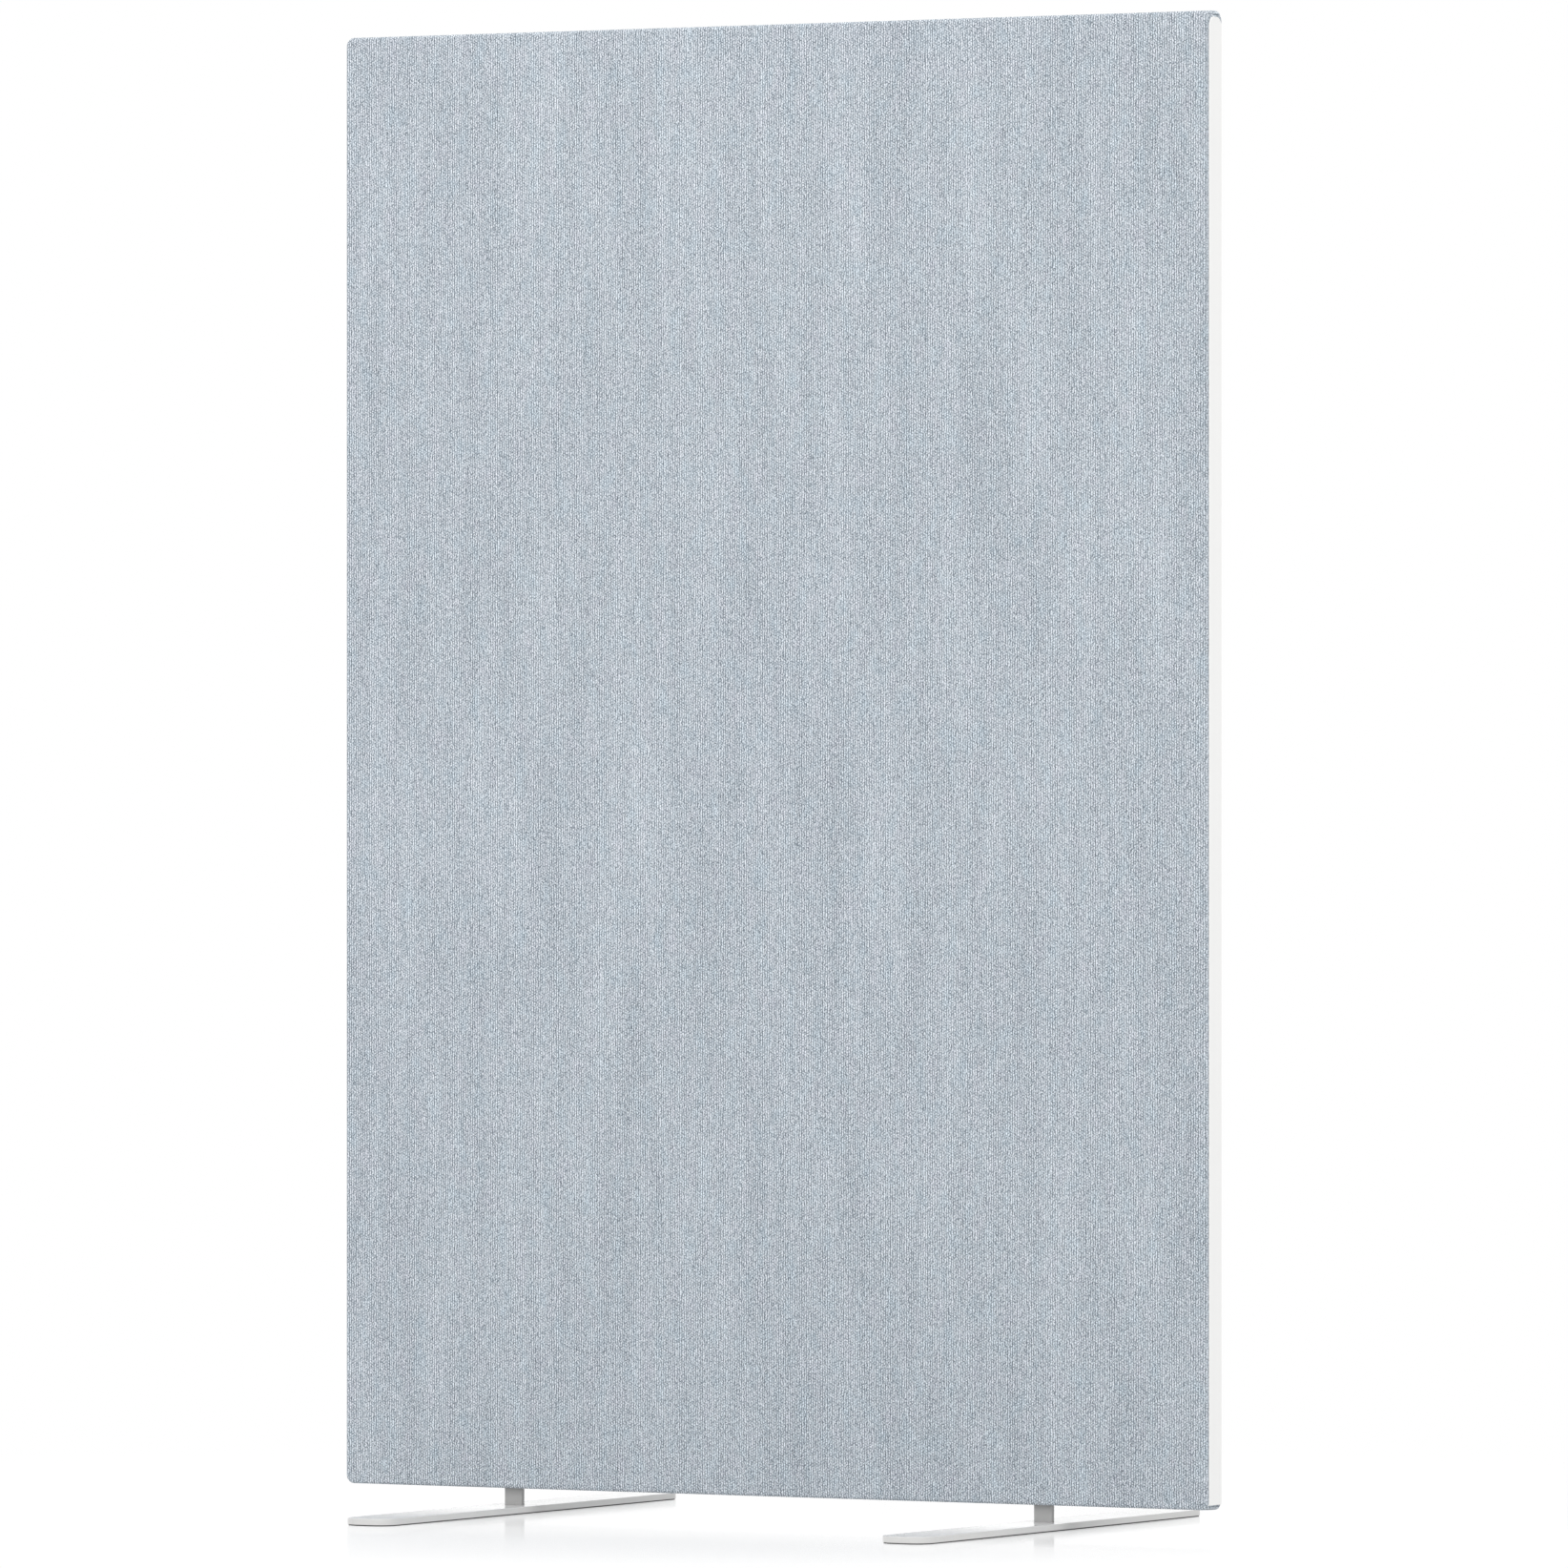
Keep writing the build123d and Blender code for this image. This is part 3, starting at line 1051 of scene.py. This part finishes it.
    def _tuck(self, skin: Skin, column: float, around: Opening, margin: float) -> list[Station]:
        """The cloth from a skin's last column on the right into the strip's pocket and groove.

        Args:
            skin: The side of the cloth.
            column: Its last column.
            around: The outline that its end has.
            margin: How far it is behind the cloth's outer side.

        Returns:
            Stations over the end face, down the pocket's wall, over its floor and into the groove.
        """
        section, outline = skin.section(column), around.ring(skin, column)
        stations = [self._column(skin, column, 1.0)]
        for step in range(1, self.rim_steps + 1):
            share = step / self.rim_steps
            half = []
            for (away, height), (goal, goal_height) in zip(section, outline):
                away, height = away + (goal - away) * share, height + (goal_height - height) * share
                half.append((skin.end(away, height), away, height))
            stations.append(stations[-1].following(skin.half_length, half))
        pocket = self.strip_back - margin
        groove = self.half_web + self.strip_clearance + margin
        for x, widest in ((pocket, math.inf), (pocket, groove), (self.web_end, groove)):
            half = [(x, min(away, widest), height) for away, height in outline]
            stations.append(stations[-1].following(x, half))
        return stations[1:]

    def sleeve(self) -> bpy.types.Mesh:
        """Closed mesh of the cloth, with its map in U across the ribs and V along them.

        Returns:
            The mesh, before its ribs are raised.
        """
        stations, outer_count = self._stations()
        half_rows = len(stations[0].half) - 1
        rows = 2 * half_rows
        points, knit = [], []
        for number, station in enumerate(stations):
            loop = [(x, -away, height) for x, away, height in station.half] + station.half[-2:0:-1]
            points += [self._gathered(point) for point in loop] if number < outer_count else loop
            knit += [station.knit if row else 0.0 for row in range(rows)]
        crest = self._column(self.outer, 0.0, 1.0).along[-1]
        faces, map_points = [], []
        for number, station in enumerate(stations):
            following = (number + 1) % len(stations)
            for row in range(rows):
                if self._in_slit(station.x, stations[following].x, row, half_rows):
                    continue
                corners = [(number, row), (following, row), (following, row + 1), (number, row + 1)]
                faces.append([at * rows + line % rows for at, line in corners])
                for at, line in corners:
                    behind = row >= half_rows
                    near = rows - line if behind else line
                    along = stations[at].along[near]
                    map_points += (stations[at].across[near], 2 * crest - along if behind else along)
        walls = self._slit_walls(stations, outer_count, half_rows)
        faces += walls
        map_points += [0.0] * (8 * len(walls))
        mesh = plain_mesh("cloth_sleeve", points, faces)
        mesh.uv_layers.new(name=self.uv_name).data.foreach_set("uv", map_points)
        mesh.attributes.new("knit", "FLOAT", "POINT").data.foreach_set("value", knit)
        face_outwards(mesh)
        return mesh

    def _gathered(self, point: Point) -> Point:
        """Move a point of the outer skin out where folded cloth gathers behind the panel's corners.

        Args:
            point: The point on evenly stretched cloth.

        Returns:
            The point on the gathered cloth.
        """
        x, y, z = point
        over = z - (self.bottom + self.top) / 2
        edge = (self.top - self.bottom) / 2
        full = self.gather_reach * self.gather_full_share
        near_end = eased((abs(x) - self.half_length + self.gather_reach) / full)
        near_back = eased((y / self.outer.flat + 1.0) / self.gather_across_share)
        near_edge = eased((abs(over) - edge + self.corner / 2) / (self.corner / 2 - self.gather))
        share = near_end * near_back * near_edge
        shift = share * (self.gather if over > 0 else self.gather_below)
        return x + math.copysign(share * self.end_pull, x), y, z + math.copysign(shift, over)

    def _run(self, half: list[Point]) -> list[float]:
        """Distances along the cloth, equal to the height on the panel's face.

        Args:
            half: The front half of a closed line round the cloth.

        Returns:
            The distance at each of its points.
        """
        start = len(self.outer.seam_rows) + self.outer.edge_steps
        run = [0.0] * len(half)
        run[start] = half[start][2]
        for row in range(start + 1, len(half)):
            run[row] = run[row - 1] + math.dist(half[row], half[row - 1])
        for row in range(start - 1, -1, -1):
            run[row] = run[row + 1] - math.dist(half[row], half[row + 1])
        return run

    def _in_slit(self, here: float, there: float, row: int, half_rows: int) -> bool:
        """Whether a face is cut away for a tongue.

        Args:
            here: Place of the column at one of its sides.
            there: Place of the column at the other.
            row: The row that it starts at.
            half_rows: Steps in half a station.

        Returns:
            True in a slit.
        """
        cut = len(self.outer.seam_rows) - 1
        low, high = sorted((here, there))
        beside = any(start <= low and high <= end for start, end in self.slit_ends())
        return beside and not cut <= row < 2 * half_rows - cut

    def _slit_walls(self, stations: list[Station], outer_count: int, half_rows: int) -> list[list[int]]:
        """Faces across the cloth's thickness round each slit.

        Args:
            stations: All closed lines round the cloth.
            outer_count: How many of them belong to the outer skin.
            half_rows: Steps in half a station.

        Returns:
            Point numbers of the faces.
        """
        rows = 2 * half_rows
        cut = len(self.outer.seam_rows) - 1
        inner_at = {s.x: number for number, s in enumerate(stations) if number >= outer_count}
        walls = []
        for start, end in self.slit_ends():
            inside = [number for number in range(outer_count) if start <= stations[number].x <= end]
            rim = [(number, cut) for number in inside]
            rim += [(inside[-1], row % rows) for row in range(cut - 1, -cut - 1, -1)]
            rim += [(number, rows - cut) for number in reversed(inside[:-1])]
            rim += [(inside[0], row % rows) for row in range(-cut + 1, cut)]
            for (a, row_a), (b, row_b) in zip(rim, rim[1:] + rim[:1]):
                inner_a, inner_b = inner_at[stations[a].x], inner_at[stations[b].x]
                walls.append(
                    [a * rows + row_a, b * rows + row_b, inner_b * rows + row_b, inner_a * rows + row_a]
                )
        return walls

    def _seam_lines(self) -> list[list[Point]]:
        """Lines of stitches on the underside: two along the seam, and one round each slit.

        Returns:
            The points of each line.
        """
        level = self.bottom - self.thread_width * self.thread_drop_share
        lines, start = [], -self.half_length + self.gather_reach
        slits = self.slit_ends()
        stops = [start] + [place for slit in slits for place in slit] + [-start]
        for first, last in zip(stops[::2], stops[1::2]):
            first, last = first + self.stitch_pitch, last - self.stitch_pitch
            for away in (-self.seam_row, self.seam_row):
                lines.append([(first, away, level), (last, away, level)])
        half = self.slit_half + self.slit_row
        for first, last in slits:
            first, last = first - self.slit_row, last + self.slit_row
            ring = [(first, -half, level), (last, -half, level), (last, half, level), (first, half, level)]
            lines.append(ring + ring[:1])
        return lines

    def stitches(self) -> bpy.types.Mesh:
        """Mesh of bare edges that the stitches follow.

        Returns:
            The mesh.
        """
        points, edges = [], []
        for line in self._seam_lines():
            edges += [(len(points) + step, len(points) + step + 1) for step in range(len(line) - 1)]
            points += line
        mesh = bpy.data.meshes.new("cover_stitches")
        mesh.from_pydata(points, edges, [])
        return mesh

    def build(self) -> None:
        """Make the sleeve and its stitches, and put them in the place of the modelled cover."""
        sleeve = add_piece("cloth_sleeve", self.sleeve())
        values = {"Rib Pitch": self.knit.rib_pitch, "Relief": self.rib_height}
        values |= {"Unevenness": self.unevenness, "Seed": self.seed, "Material": self.knit.material()}
        rib_relief_tree().apply(sleeve, values)
        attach(sleeve, "panel")
        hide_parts("cloth_cover")

        stitches = add_piece("cover_stitches", self.stitches())
        values = {"Pitch": self.stitch_pitch, "Stitch Length": self.stitch_length}
        values |= {"Thread": self.thread_width, "Material": self.thread.material()}
        stitching_tree().apply(stitches, values)
        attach(stitches, "panel")
        log.info("cover_stitches: %s", self.thread.name)

        run = self._column(self.outer, 0.0, 1.0).along
        around = 2 * (run[-1] - run[0] + self.seam_allowance)
        across = 2 * (self.half_length + self.half_length - self.web_end + self.opening.half_width)
        log.info("cloth_sleeve: %s, cut %.3f x %.3f m", self.knit.name, across, around)


@dataclass(frozen=True)
class Swelling:
    """Short cloth simulation that lets a soft layer fill the space it is held in."""

    cap: float
    frames: int = 12
    pressure: float = 4.0

    def apply(self, piece: bpy.types.Object, low: Vector, high: Vector) -> None:
        """Swell a piece and keep the result in its mesh.

        Args:
            piece: The layer, smaller than its space.
            low: Lowest corner of the space.
            high: Highest corner of the space.
        """
        cloth = piece.modifiers.new("swelling", "CLOTH").settings
        cloth.use_pressure = True
        cloth.uniform_pressure_force = self.pressure
        cloth.effector_weights.gravity = 0.0
        scene = bpy.context.scene
        first = scene.frame_start
        for step in range(self.frames):
            scene.frame_set(first + step)
        graph = bpy.context.evaluated_depsgraph_get()
        swollen = bpy.data.meshes.new_from_object(piece.evaluated_get(graph), depsgraph=graph)
        piece.modifiers.clear()
        scene.frame_set(first)
        for vertex, goal in zip(piece.data.vertices, swollen.vertices):
            shift = goal.co - vertex.co
            if shift.length > self.cap:
                shift.length = self.cap
            place = vertex.co + shift
            vertex.co = [min(max(p, a), b) for p, a, b in zip(place, low, high)]
        bpy.data.meshes.remove(swollen)


@dataclass
class Pad:
    """Soft layer with rounded edges and an uneven surface, in the place of a plain modelled block."""

    name: str
    node: str
    slot: str
    fleece: Fleece
    corner: float
    rounding: float
    cell: float
    slack: float
    fill: float = 0.9
    steps: int = 3

    def mesh(self) -> bpy.types.Mesh:
        """Closed mesh of the layer, in cells fine enough to be dented.

        Returns:
            The mesh.
        """
        low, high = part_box(self.node)
        middle = (low + high) / 2
        half = (high - low) / 2 - Vector((self.slack, self.slack, self.slack))
        radius = min(self.rounding, half.y)
        flat_x, flat_z = half.x - radius, half.z - radius
        bend = self.corner - radius
        columns, rows = (self._grid(size, bend) for size in (flat_x, flat_z))
        count_x, count_z = len(columns) - 1, len(rows) - 1
        rim = [(x, rows[0]) for x in columns] + [(columns[-1], z) for z in rows[1:]]
        rim += [(x, rows[-1]) for x in columns[-2::-1]] + [(columns[0], z) for z in rows[-2:0:-1]]

        points, faces = [], []
        for face in (-1, 1):
            start = len(points)
            points += [(x, face * half.y, z) for x in columns for z in rows]
            for i in range(count_x):
                for j in range(count_z):
                    at = start + i * (count_z + 1) + j
                    faces.append((at, at + count_z + 1, at + count_z + 2, at + 1))
        loops = []
        for turn in range(2 * self.steps + 1):
            angle = math.pi * (turn / (2 * self.steps) - 0.5)
            level = radius * math.sin(angle)
            if turn != self.steps:
                level += math.copysign(half.y - radius, angle)
            loops.append(range(len(points), len(points) + len(rim)))
            out = radius * math.cos(angle)
            for x, z in rim:
                push_x = out * ((x == columns[-1]) - (x == columns[0]))
                push_z = out * ((z == rows[-1]) - (z == rows[0]))
                points.append((x + push_x, level, z + push_z))
        for first, second in zip(loops, loops[1:]):
            for at in range(len(rim)):
                following = (at + 1) % len(rim)
                faces.append((first[at], first[following], second[following], second[at]))
        curved = []
        for x, y, z in points:
            over_x, over_z = abs(x) - flat_x + bend, abs(z) - flat_z + bend
            if over_x > 0 and over_z > 0:
                shrink = max(over_x, over_z) / math.hypot(over_x, over_z)
                x = math.copysign(flat_x - bend + over_x * shrink, x)
                z = math.copysign(flat_z - bend + over_z * shrink, z)
            curved.append((x + middle.x, y + middle.y, z + middle.z))
        mesh = plain_mesh(self.name, curved, faces)
        face_outwards(mesh)
        return mesh

    def _grid(self, flat: float, corner: float) -> list[float]:
        """Lines of the grid across one side: even in the middle and close at the round corners.

        Args:
            flat: Half of the side's flat length.
            corner: How much of that the round corner takes.

        Returns:
            Their places.
        """
        straight = flat - corner
        count = max(2, round(2 * straight / self.cell))
        ends = [straight + corner * step / self.steps for step in range(1, self.steps + 1)]
        even = [straight * (2 * step / count - 1) for step in range(count + 1)]
        return [-place for place in reversed(ends)] + even + ends

    def build(self) -> None:
        """Make the layer and put it in its node's place."""
        piece = add_piece(self.name, self.mesh())
        Swelling(self.slack).apply(piece, *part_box(self.node))
        values = {"Slack": self.slack, "Material": self.fleece.material()}
        fleece_relief_tree().apply(piece, values)
        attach(piece, "panel")
        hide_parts(self.node)
        log.info("%s: %s", self.name, self.fleece.name)


@dataclass(frozen=True)
class Lamp:
    """Soft square lamp."""

    name: str
    place: Point
    size: float
    power: float
    aim: Point = (0.0, 0.0, 0.7)

    def build(self) -> None:
        """Hang the lamp and point it."""
        lamp = bpy.data.lights.new(self.name, "AREA")
        lamp.size, lamp.energy = self.size, self.power
        holder = bpy.data.objects.new(self.name, lamp)
        turn = (Vector(self.aim) - Vector(self.place)).to_track_quat("-Z", "Y").to_matrix().to_4x4()
        holder.matrix_world = Matrix.Translation(self.place) @ turn
        bpy.context.scene.collection.objects.link(holder)


@dataclass
class Studio:
    """White floor, even surround and four soft lamps."""

    lamps: tuple[Lamp, ...] = (
        Lamp("overhead_lamp", (0.0, -0.8, 5.6), 5.0, 88.0, (0.0, 0.0, 0.6)),
        Lamp("front_lamp", (-1.0, -4.5, 2.2), 3.5, 66.0),
        Lamp("side_lamp", (4.5, -1.0, 2.0), 3.0, 44.0),
        Lamp("back_lamp", (-1.5, 4.5, 2.2), 3.5, 40.0),
    )
    floor_half: float = 30.0
    floor_colour: Colour = (0.62, 0.62, 0.62)
    seen_colour: Colour = (0.98, 0.98, 0.98)
    white: tuple[float, float, float, float] = (1.0, 1.0, 1.0, 1.0)
    clear_share: float = 0.82
    clear_from: float = 0.7
    clear_to: float = 1.6
    shine_ior: float = 1.45
    shine_roughness: float = 0.11
    shine_share: float = 0.61
    shine_reach: float = 0.84
    close_share: float = 0.65
    close_from: float = 0.12
    close_to: float = 0.34
    surround: float = 0.80

    def build(self) -> None:
        """Put up the floor, the surround and the lamps."""
        self._floor()
        self._world()
        for lamp in self.lamps:
            lamp.build()

    def _floor(self) -> None:
        """Floor that shows white, keeps the object's shadow and lets no light be lost below it."""
        size = self.floor_half
        square = [(-size, -size, 0.0), (size, -size, 0.0), (size, size, 0.0), (-size, size, 0.0)]
        floor = add_piece("studio_floor", plain_mesh("studio_floor", square, [(0, 1, 2, 3)]))
        shader = Shader("studio_floor")
        x, y, _ = shader.numbers(shader.place())
        away = (x * x + y * y) ** 0.5
        below = Term(shader, shader.node("ShaderNodeNewGeometry").outputs["Backfacing"])

        seen = shader.seen()
        clear = away.between(self.clear_from, self.clear_to) * (1.0 - self.clear_share)
        clear = (clear + self.clear_share) * seen
        clear = clear.highest(shader.ray("Is Shadow Ray")).highest(below)
        colour = shader.mixed(seen, self.floor_colour, self.seen_colour)
        lit = shader.node("ShaderNodeBsdfDiffuse", values={"Color": colour}).outputs[0]
        through = shader.node("ShaderNodeBsdfTransparent").outputs[0]
        matt = shader.node("ShaderNodeMixShader", values={0: clear, 1: lit, 2: through}).outputs[0]

        close = 1.0 - (y * y).between(self.close_from**2, self.close_to**2)
        shine = ((1.0 - away / self.shine_reach) * self.shine_share).highest(close * self.close_share)
        glance = Term(shader, shader.node("ShaderNodeFresnel", values={"IOR": self.shine_ior}).outputs[0])
        shine = shine * glance * shader.ray("Is Camera Ray") * (1.0 - below)
        values = {"Color": self.white, "Roughness": self.shine_roughness}
        gloss = shader.node("ShaderNodeBsdfGlossy", values=values).outputs[0]
        surface = shader.node("ShaderNodeMixShader", values={0: shine, 1: matt, 2: gloss}).outputs[0]
        shader.node("ShaderNodeOutputMaterial", values={"Surface": surface})
        floor.data.materials.append(shader.material)

    def _world(self) -> None:
        """Even surround: white to look at, dimmer as a light."""
        world = bpy.data.worlds.new("studio")
        world.use_nodes = True
        graph = Graph(world.node_tree)
        graph.tree.nodes.clear()
        strength = graph.seen() * (1.0 - self.surround) + self.surround
        values = {"Color": self.white, "Strength": strength}
        glow = graph.node("ShaderNodeBackground", values=values).outputs[0]
        graph.node("ShaderNodeOutputWorld", values={"Surface": glow})
        bpy.context.scene.world = world


@dataclass(frozen=True)
class PhotoCamera:
    """The photo's view: a level long lens, to the right of the screen."""

    place: Point = (6.68882, -11.52942, 0.76076)
    turn: float = 30.087
    lens: float = 305.06
    film: float = 36.0
    shift: float = -0.01387
    sight: float = 200.0

    def build(self) -> None:
        """Add the camera and make it the scene's own."""
        camera = bpy.data.cameras.new("photo_camera")
        camera.lens, camera.sensor_width, camera.shift_y = self.lens, self.film, self.shift
        camera.clip_end = self.sight
        holder = bpy.data.objects.new("photo_camera", camera)
        holder.location = self.place
        holder.rotation_euler = (math.pi / 2, 0.0, math.radians(self.turn))
        bpy.context.scene.collection.objects.link(holder)
        bpy.context.scene.camera = holder


@dataclass(frozen=True)
class Padding:
    """Soft layers inside the cover: wadding on both faces and a batt in each bay."""

    # The second colour of each fleece is painted shade in the hollows of its web.
    wadding: Fleece = Fleece("white_wadding", (0.80, 0.80, 0.78), (0.60, 0.60, 0.58))
    batt: Fleece = Fleece("fibre_batt", (0.60, 0.57, 0.44), (0.42, 0.40, 0.29), fibre=250.0)

    def build(self) -> None:
        """Make all four layers."""
        for face in ("front", "back"):
            Pad(
                name=f"wadding_pad_{face}",
                node=f"wadding_{face}",
                slot="wadding",
                fleece=self.wadding,
                corner=8.0 * MM,
                rounding=1.2 * MM,
                cell=20.0 * MM,
                slack=0.3 * MM,
            ).build()
        for bay in ("lower", "upper"):
            Pad(
                name=f"absorber_batt_{bay}",
                node=f"absorber_{bay}",
                slot="absorber",
                fleece=self.batt,
                corner=6.0 * MM,
                rounding=4.0 * MM,
                cell=15.0 * MM,
                slack=0.8 * MM,
            ).build()


@dataclass(frozen=True)
class TimberFrame:
    """Pine stiles and rails inside the cover, joined by beech dowels."""

    rail: PlanedTimber = PlanedTimber("timber_level", Grain.LEVEL)
    stile: PlanedTimber = PlanedTimber("timber_upright", Grain.UPRIGHT)
    dowel: PlanedTimber = PlanedTimber(
        "dowel_beech", Grain.LEVEL, (0.62, 0.43, 0.27), (0.48, 0.31, 0.18), 2.0 * MM
    )

    def dress(self) -> None:
        """Give the modelled pieces their timber."""
        coat(("top_rail", "middle_rail", "bottom_rail"), self.rail.material())
        coat(("stile_left", "stile_right"), self.stile.material())
        coat(("frame_dowels",), self.dowel.material())


@dataclass(frozen=True)
class EdgeStrips:
    """White plastic strips in the panel's two ends."""

    plastic: SatinWhite = SatinWhite("satin_strip", (0.915, 0.915, 0.905), 0.45, 600.0, 0.02 * MM)

    def dress(self) -> None:
        """Give the modelled pieces their plastic."""
        coat([f"edge_strip_{side.word}" for side in Side], self.plastic.material())


@dataclass(frozen=True)
class Feet:
    """Flat steel feet on rubber, with their tongues and the sockets and screws that hold these."""

    plate: SatinWhite = SatinWhite("white_powder", (0.70, 0.695, 0.685), 0.12, 900.0, 0.01 * MM)
    # The tongues get a darker copy of the plates' white coat. This is painted shade for the shade that the
    # panel casts on them.
    tongue: SatinWhite = SatinWhite("grey_powder", (0.455, 0.453, 0.448), 0.45, 900.0, 0.03 * MM)
    # A rubber sheet whose black also paints the shadow line under each foot.
    underlay: SheetRubber = SheetRubber("underlay_rubber")
    socket: ZincPlate = ZincPlate("socket_zinc")
    screws: ZincPlate = ZincPlate("screw_zinc", (0.66, 0.65, 0.58))

    def dress(self) -> None:
        """Give the modelled pieces their coats."""
        finishes = {
            "foot_plate": self.plate,
            "foot_tongue": self.tongue,
            "foot_underlay": self.underlay,
            "foot_socket": self.socket,
            "socket_screws": self.screws,
        }
        for node, finish in finishes.items():
            coat([f"{node}_{side.word}" for side in Side], finish.material())


def corners(box: Iterable[Vector]) -> list[list[float]]:
    """A box's two corners as plain lists."""
    return [list(corner) for corner in box]


def main() -> None:
    """Build the whole scene."""
    logging.basicConfig(level=logging.INFO, format="%(name)s: %(message)s")
    bpy.context.scene.view_settings.view_transform = "Standard"
    Cover(RibbedKnit()).build()
    Padding().build()
    TimberFrame().dress()
    EdgeStrips().dress()
    Feet().dress()
    Studio().build()
    PhotoCamera().build()


if __name__ == "__main__":
    main()
